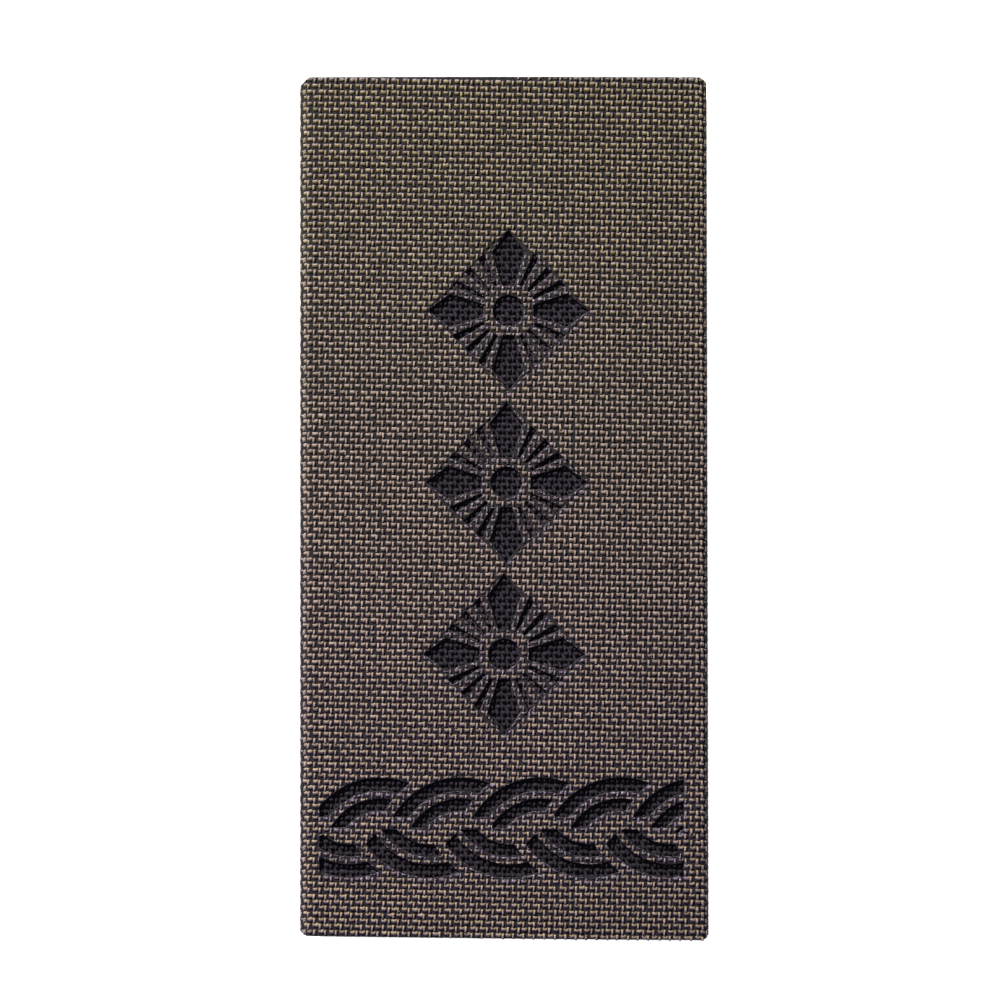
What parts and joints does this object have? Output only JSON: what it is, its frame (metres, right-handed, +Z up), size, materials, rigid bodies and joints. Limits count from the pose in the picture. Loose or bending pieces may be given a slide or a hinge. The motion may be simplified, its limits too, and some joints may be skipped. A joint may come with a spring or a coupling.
{
  "type": "shoulder board",
  "caption": "Slip-on shoulder board: a flattened sleeve of taupe woven cloth with pointed stars and a plaited band cut through its face over a dark woven underlay.",
  "frame": {"origin": "centre of the outline on the plane that the back rests on", "axes": "+X to the board's right and +Y to its plain end as the face is read, +Z up out of the face"},
  "size_m": [0.05, 0.1062, 0.0088],
  "materials": {
    "taupe_cloth": "plain-woven filament cloth, taupe",
    "dark_cloth": "plain-woven filament cloth, near black"
  },
  "bodies": {
    "root": {"sleeve": "taupe_cloth", "underlay": "dark_cloth"}
  },
  "joints": []
}
